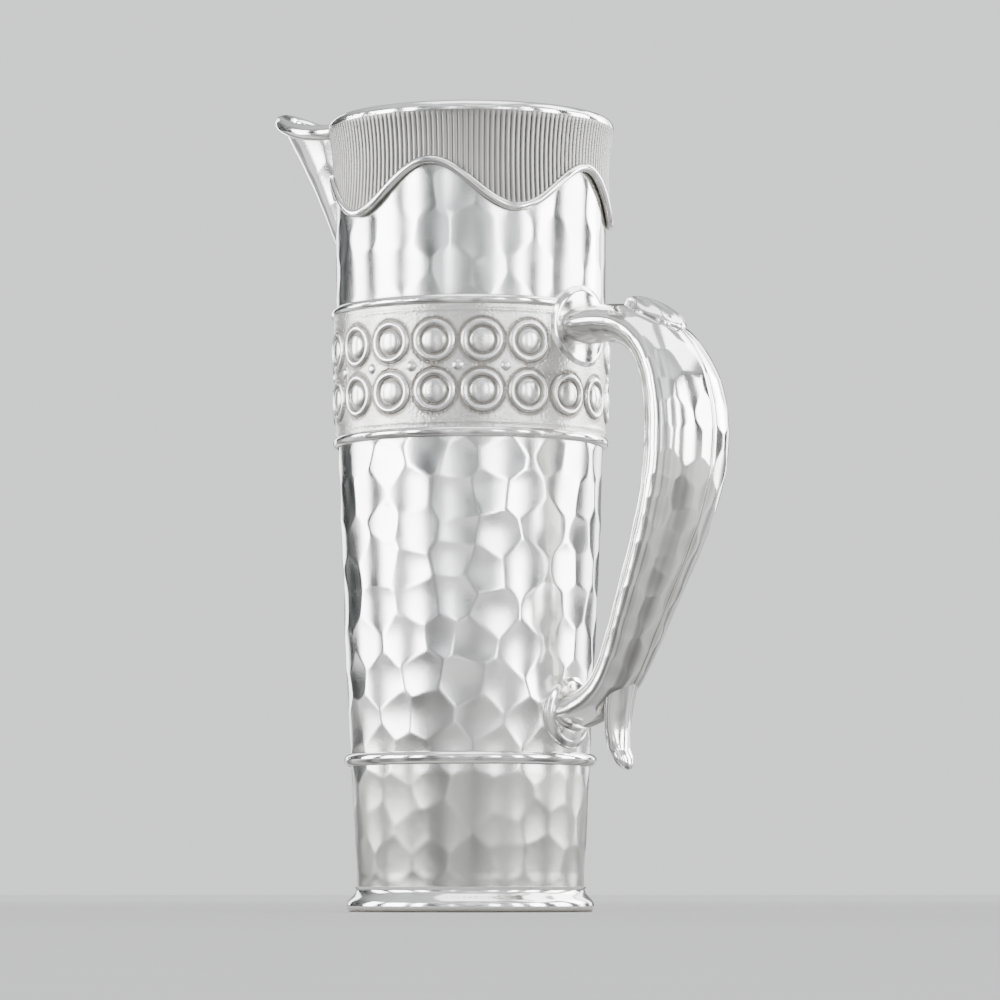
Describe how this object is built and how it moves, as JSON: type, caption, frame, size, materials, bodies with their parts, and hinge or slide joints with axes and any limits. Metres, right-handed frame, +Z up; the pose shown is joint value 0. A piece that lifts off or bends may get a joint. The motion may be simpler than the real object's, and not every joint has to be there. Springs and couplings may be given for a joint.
{
  "type": "water pitcher",
  "caption": "Tall tapered silver water pitcher with a hammered body, a chased girdle, a swagged rim collar, a pouring spout and a hollow side handle.",
  "frame": {"origin": "centre of the foot ring's underside, on the body's axis", "axes": "+Z up along the body's axis, +X towards the handle, -X towards the spout"},
  "size_m": [0.1263, 0.069, 0.197],
  "materials": {
    "polished_silver": "polished",
    "hammered_silver": "polished",
    "satin_silver": "satin",
    "inner_silver": "satin"
  },
  "bodies": {
    "root": {"foot_ring": "polished_silver", "bottom_plate": "inner_silver", "body_shell": "hammered_silver", "base_wire": "polished_silver", "girdle_strap": "satin_silver", "girdle_wire_lower": "polished_silver", "girdle_wire_upper": "polished_silver", "rim_collar": "satin_silver", "collar_wire": "polished_silver", "rim_wire": "polished_silver", "spout": "hammered_silver", "spout_lip_wire": "polished_silver", "handle_half_left": "polished_silver", "handle_half_right": "polished_silver", "handle_patch_upper": "satin_silver", "handle_patch_lower": "satin_silver", "thumb_rest": "polished_silver", "handle_tail": "polished_silver"}
  },
  "joints": []
}
